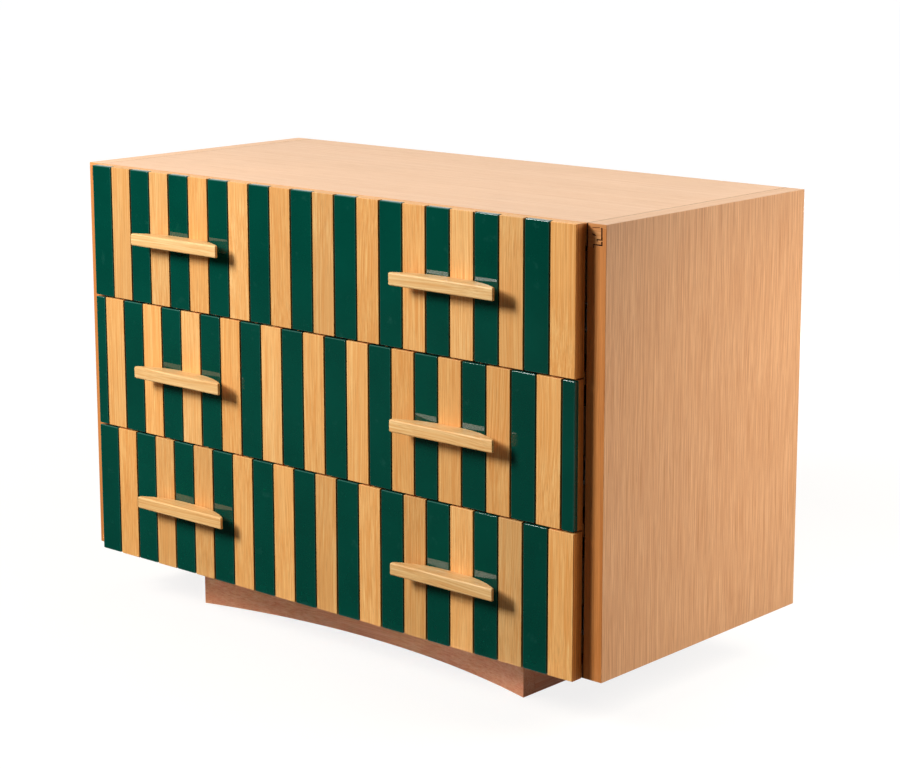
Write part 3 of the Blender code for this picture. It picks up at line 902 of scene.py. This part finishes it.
def build_front(row):
    """A drawer's backing board, its oak slats and its lacquered slats."""
    node = row + "_drawer_front"
    body = row + "_drawer"
    low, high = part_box(node)
    board_face = low.y + SLAT_THICKNESS
    row_board = FRONT_BOARDS[row]
    bm = bmesh.new()
    # The board's ends take the painted warm shade of the slats' sides.
    for face in box_into(bm, (low.x, board_face, low.z), high, row_board):
        face.material_index = int(looks_along(face, "x"))
    add_piece(row + "_drawer_backing_board", bm, [slat_oak(), slat_side_warm_shade()], body, [node],
              shapes().panel_edge)
    slats = slat_places(low.x, high.x, row == "middle")
    corner = shapes().green_slat_corner
    green = [green_lacquer(), green_edge_highlight()]
    oak = [slat_oak(), slat_side_warm_shade()]
    # Name, materials, rounding, its share on the face's edges, first slat and segments
    groups = (
        ("lacquered_slats", green, corner, shapes().green_slat_edge / corner, 0, LACQUER_SEGMENTS),
        ("oak_slats", oak, shapes().oak_slat_edge, 1.0, 1, EDGE_SEGMENTS),
    )
    for label, materials, edge, face_share, first, segments in groups:
        lacquered = label == "lacquered_slats"
        bm = bmesh.new()
        for index in range(first, len(slats), 2):
            start, end = slats[index]
            board = row_board + 1.0 + index
            for face in box_into(bm, (start, low.y, low.z), (end, board_face, high.z), board):
                # The oak slats' sides take the painted warm shade.
                face.material_index = int(not lacquered and looks_along(face, "x"))

        def weight(line):
            at_face = [vertex.co.y < low.y + WELD for vertex in line.verts]
            if all(at_face):
                return face_share
            return 1.0 if any(at_face) and lacquered else SLAT_REST_SHARE

        piece = add_piece(row + "_drawer_" + label, bm, materials, body, [node], edge,
                          segments, weight)
        if lacquered:
            # The rounding takes the paler lacquer: a painted highlight along the slats' edges.
            piece.modifiers["Rounded edges"].material = green.index(green_edge_highlight())


class DRESSER_OT_fronts(bpy.types.Operator):
    """Build the three slatted drawer fronts"""
    bl_idname = "dresser.fronts"
    bl_label = "Drawer fronts"

    def execute(self, context):
        for row in ROWS:
            build_front(row)
        return {"FINISHED"}


# Handles and their screws

def handle_depth(x, half, seat):
    """How far a handle reaches back from its outer face at a distance x from mid-length."""
    run = half - HANDLE_LAND / 2
    rise = seat - HANDLE_END_THICKNESS
    radius = (run ** 2 + rise ** 2) / (2 * rise)
    past_land = max(abs(x) - HANDLE_LAND / 2, 0.0)
    return seat - radius + math.sqrt(radius ** 2 - past_land ** 2)


def build_handle(row, side, board):
    """A pull with a flat outer face, a back that bows out to its seat and softly rounded ends."""
    node = row + "_drawer_" + side + "_handle"
    low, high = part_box(node)
    half = (high.x - low.x) / 2
    middle = (high.x + low.x) / 2
    seat = high.y - low.y
    right = []
    for step in range(HANDLE_ARC_STEPS + 1):
        x = half - (half - HANDLE_LAND / 2) * step / HANDLE_ARC_STEPS
        right.append((x, handle_depth(x, half, seat)))
    left = [(-x, y) for x, y in reversed(right)]
    outline = [(middle + x, low.y + y, low.z) for x, y in [(-half, 0.0), (half, 0.0)] + right + left]
    bm = bmesh.new()
    prism_into(bm, outline, (0.0, 0.0, high.z - low.z), board)

    def weight(line):
        a, b = [vertex.co for vertex in line.verts]
        at_end = all(abs(abs(point.x - middle) - half) < WELD for point in (a, b))
        if at_end and abs(a.z - b.z) < WELD:
            return 1.0
        return shapes().handle_edge / shapes().handle_corner

    add_piece(node + "_piece", bm, [handle_oak()], row + "_drawer", [node],
              shapes().handle_corner, HANDLE_SEGMENTS, weight)


def screw_into(bm, shank, seat, radius, turn):
    """Add a screw along +Y: the outline of its shank as (across, along), then a domed head that starts at
    seat and has a cross recess. turn moves it to its place."""
    profile = shank + [(radius, seat), (radius, seat + SCREW_HEAD * SCREW_RIM)]
    for step in range(1, SCREW_DOME_STEPS + 1):
        angle = math.pi / 2 * step / SCREW_DOME_STEPS
        rise = SCREW_RIM + (1.0 - SCREW_RIM) * math.sin(angle)
        profile.append((radius * math.cos(angle), seat + SCREW_HEAD * rise))
    made = bmesh.new()
    points = [made.verts.new((across, along, 0.0)) for across, along in profile]
    lines = [made.edges.new(pair) for pair in zip(points, points[1:])]
    bmesh.ops.spin(made, geom=points + lines, cent=(0.0, 0.0, 0.0), axis=(0.0, 1.0, 0.0),
                   angle=2 * math.pi, steps=SCREW_SIDES, use_merge=True, use_duplicate=False)
    bmesh.ops.remove_doubles(made, verts=made.verts, dist=WELD)
    bmesh.ops.recalc_face_normals(made, faces=made.faces)
    recess = []
    for face in made.faces:
        place = face.calc_center_median()
        off_arm = abs((math.atan2(place.z, place.x) + math.pi / 4) % (math.pi / 2) - math.pi / 4)
        reach = math.hypot(place.x, place.z) / radius
        on_dome = place.y > seat + SCREW_HEAD * SCREW_RIM
        if on_dome and reach < RECESS_REACH and (off_arm < RECESS_ARM or reach < RECESS_PIT):
            recess.append(face)
    sunk = bmesh.ops.extrude_face_region(made, geom=recess)
    moved = [item for item in sunk["geom"] if isinstance(item, bmesh.types.BMVert)]
    bmesh.ops.translate(made, vec=(0.0, -RECESS_DEPTH, 0.0), verts=moved)
    bmesh.ops.transform(made, matrix=turn, verts=made.verts)
    mesh = mesh_from("screw", made)
    bm.from_mesh(mesh)
    bpy.data.meshes.remove(mesh)


def build_screw(row, side):
    """The handle's screw: a shank in the wood and a domed head in the drawer."""
    node = row + "_drawer_" + side + "_handle_screw"
    low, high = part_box(node)
    seat = high.y - SCREW_HEAD
    shank = [(0.0, low.y), (SCREW_SHANK * SCREW_TIP, low.y), (SCREW_SHANK, low.y + SCREW_SHANK),
             (SCREW_SHANK, seat)]
    place = Matrix.Translation(((low.x + high.x) / 2, 0.0, (low.z + high.z) / 2))
    bm = bmesh.new()
    screw_into(bm, shank, seat, (high.x - low.x) / 2, place)
    add_piece(node + "_piece", bm, [zinc_steel()], row + "_drawer", [node], 0.0)


class DRESSER_OT_handles(bpy.types.Operator):
    """Build the six handles and the screws that hold them"""
    bl_idname = "dresser.handles"
    bl_label = "Handles"

    def execute(self, context):
        board = HANDLE_BOARDS
        for row in ROWS:
            for side in SIDES:
                build_handle(row, side, board)
                build_screw(row, side)
                board += 1.0
        return {"FINISHED"}


# Drawer boxes and runners

class DRESSER_OT_boxes(bpy.types.Operator):
    """Build the three drawer boxes"""
    bl_idname = "dresser.boxes"
    bl_label = "Drawer boxes"

    def execute(self, context):
        edge = shapes().box_edge
        for row in ROWS:
            body = row + "_drawer"
            for board, (part, axis) in enumerate(BOX_PARTS):
                dress(body + "_" + part, body, birch(axis), edge, BOX_BOARDS[row] + board)
        return {"FINISHED"}


def build_runner_screws(row, side):
    """The screws that hold a runner's drawer member to the drawer box, their heads in its channel."""
    low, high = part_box(row + "_" + side + "_runner_drawer_member")
    web = low.x + RUNNER_WALL if side == "right" else high.x - RUNNER_WALL
    lay = Matrix.Rotation(-SIDES[side] * math.pi / 2, 4, "Z")
    bm = bmesh.new()
    for share in RUNNER_SCREW_PLACES:
        place = Matrix.Translation((web, low.y + (high.y - low.y) * share, (low.z + high.z) / 2))
        screw_into(bm, [(0.0, 0.0)], 0.0, RUNNER_SCREW_RADIUS, place @ lay)
    add_piece(row + "_" + side + "_runner_screws", bm, [zinc_steel()], row + "_drawer", [],
              0.0)


class DRESSER_OT_runners(bpy.types.Operator):
    """Build the six full-extension runners and the screws that hold them to the drawers"""
    bl_idname = "dresser.runners"
    bl_label = "Runners"

    def execute(self, context):
        edge = shapes().steel_edge
        for row in ROWS:
            bodies = {"cabinet": "carcass", "middle": row + "_runners", "drawer": row + "_drawer"}
            for side in SIDES:
                stem = row + "_" + side + "_runner_"
                for member, body in bodies.items():
                    dress(stem + member + "_member", body, zinc_steel(), edge)
                build_runner_screws(row, side)
        return {"FINISHED"}


# Studio

def seen_directly(tree):
    """1 for the camera, for reflections and through clear things, and 0 where a surface gathers light."""
    path = put(tree, "LightPath").outputs
    seen = math_node(tree, "MAXIMUM", path["Is Camera Ray"], path["Is Glossy Ray"])
    return math_node(tree, "MAXIMUM", seen, path["Is Transmission Ray"])


def studio_material(name, scale, dark, light):
    """A matt material that varies a little between two colours. Returns it, its tree, shader and place."""
    made, tree, shader, place = new_material(name)
    unevenness = noise(tree, place, scale, detail=2.0)
    tree.links.new(mixed(tree, unevenness, dark, light), shader.inputs["Base Color"])
    shader.inputs["Roughness"].default_value = 0.9
    shader.inputs["Specular IOR Level"].default_value = 0.0
    return made, tree, shader, place


def floor_material(tint):
    """A floor that looks white to the camera and in reflections, but keeps the shadow near the dresser."""
    made, tree, shader, place = studio_material("studio_floor", 1.5, shade(tint, 0.99), shade(tint, 1.01))
    distance = put(tree, "VectorMath", {0: place}, operation="LENGTH").outputs["Value"]
    light = spread(tree, distance, *FLOOR_FADE, *FLOOR_LIGHT)
    shader.inputs["Emission Color"].default_value = WHITE
    tree.links.new(product(tree, light, seen_directly(tree)), shader.inputs["Emission Strength"])
    return made


def add_floor(studio):
    bm = bmesh.new()
    bmesh.ops.create_grid(bm, x_segments=8, y_segments=8, size=FLOOR_HALF)
    floor = add_object("studio_floor", mesh_from("studio_floor", bm, [floor_material(studio.floor)]))
    floor.location = (0.0, 0.0, -FLOOR_DROP)


def add_dark_card():
    """A dark card round the front of the studio. Only reflections see it, and it keeps the lacquer deep."""
    bm = bmesh.new()
    columns = []
    for x in (-CARD_HALF, 0.0, CARD_HALF):
        columns.append([bm.verts.new((x, y, z)) for y, z in CARD_OUTLINE])
    for left, right in zip(columns, columns[1:]):
        for step in range(len(CARD_OUTLINE) - 1):
            bm.faces.new((left[step], right[step], right[step + 1], left[step + 1]))
    dark, light = [shade(NEUTRAL, tone) for tone in CARD_TONES]
    material = studio_material("studio_dark_card", 2.0, dark, light)[0]
    card = add_object("studio_dark_card", mesh_from("studio_dark_card", bm, [material]))
    for use in ("camera", "diffuse", "transmission", "volume_scatter", "shadow"):
        setattr(card, "visible_" + use, False)


def add_light(name, place, target, size, watts, tint, beam):
    lamp = bpy.data.lights.new(name, "AREA")
    lamp.spread = beam
    lamp.shape = "RECTANGLE"
    lamp.size, lamp.size_y = size
    lamp.energy = watts
    lamp.color = tint
    light = add_object(name, lamp)
    light.location = place
    light.rotation_euler = (Vector(target) - Vector(place)).to_track_quat("-Z", "Y").to_euler()


def add_world(ambient):
    """Even light from all around, which shows as white to the camera and in reflections."""
    world = bpy.data.worlds.new("Studio")
    world.use_nodes = True
    tree = world.node_tree
    shader = tree.nodes["Background"]
    tree.links.new(between(tree, seen_directly(tree), ambient, 1.0), shader.inputs["Strength"])
    shader.inputs["Color"].default_value = WHITE
    bpy.context.scene.world = world


def add_camera():
    forward = Vector((-math.sin(CAMERA_YAW) * math.cos(CAMERA_PITCH),
                      math.cos(CAMERA_YAW) * math.cos(CAMERA_PITCH), -math.sin(CAMERA_PITCH)))
    level = Vector((math.cos(CAMERA_YAW), math.sin(CAMERA_YAW), 0.0))
    upright = level.cross(forward)
    right = level * math.cos(CAMERA_ROLL) + upright * math.sin(CAMERA_ROLL)
    up = upright * math.cos(CAMERA_ROLL) - level * math.sin(CAMERA_ROLL)
    turn = Matrix((right, up, -forward)).transposed().to_4x4()
    lens = bpy.data.cameras.new("Camera")
    lens.sensor_width = 36.0
    lens.lens = CAMERA_LENS
    lens.shift_y = CAMERA_SHIFT
    lens.clip_start = 0.05
    lens.clip_end = 100.0
    camera = add_object("Camera", lens)
    camera.matrix_world = Matrix.Translation(CAMERA_PLACE) @ turn
    bpy.context.scene.camera = camera


class DRESSER_OT_studio(bpy.types.Operator):
    """Set up the floor, the lights and the camera"""
    bl_idname = "dresser.studio"
    bl_label = "Studio"

    def execute(self, context):
        studio = context.scene.dresser_studio
        add_floor(studio)
        add_dark_card()
        for name, setting, place, target, size, tint, beam in LIGHTS:
            add_light(name, place, target, size, getattr(studio, setting), tint, beam)
        add_world(studio.ambient)
        add_camera()
        context.scene.view_settings.view_transform = "Standard"
        return {"FINISHED"}


# Panel and registration

class DRESSER_PT_panel(bpy.types.Panel):
    """Sizes, colours and lights of the dresser, and the steps that build it"""
    bl_idname = "DRESSER_PT_panel"
    bl_label = "Dresser"
    bl_space_type = "VIEW_3D"
    bl_region_type = "UI"
    bl_category = "Dresser"

    def draw(self, context):
        layout = self.layout
        for title, settings in (
            ("Shapes", context.scene.dresser_shapes),
            ("Finishes", context.scene.dresser_finishes),
            ("Studio", context.scene.dresser_studio),
        ):
            box = layout.box()
            box.label(text=title)
            for name in settings.__annotations__:
                box.prop(settings, name)
        for operator in OPERATORS:
            layout.operator(operator.bl_idname)


SETTINGS = {
    "dresser_shapes": DresserShapes,
    "dresser_finishes": DresserFinishes,
    "dresser_studio": DresserStudio,
}
OPERATORS = (
    DRESSER_OT_carcass,
    DRESSER_OT_plinth,
    DRESSER_OT_fronts,
    DRESSER_OT_handles,
    DRESSER_OT_boxes,
    DRESSER_OT_runners,
    DRESSER_OT_studio,
)
CLASSES = (*SETTINGS.values(), *OPERATORS, DRESSER_PT_panel)


def register():
    for cls in CLASSES:
        bpy.utils.register_class(cls)
    for name, settings in SETTINGS.items():
        setattr(bpy.types.Scene, name, PointerProperty(type=settings))


def unregister():
    for name in SETTINGS:
        delattr(bpy.types.Scene, name)
    for cls in reversed(CLASSES):
        bpy.utils.unregister_class(cls)


def main():
    register()
    bpy.ops.dresser.carcass()
    bpy.ops.dresser.plinth()
    bpy.ops.dresser.fronts()
    bpy.ops.dresser.handles()
    bpy.ops.dresser.boxes()
    bpy.ops.dresser.runners()
    bpy.ops.dresser.studio()


if __name__ == "__main__":
    main()
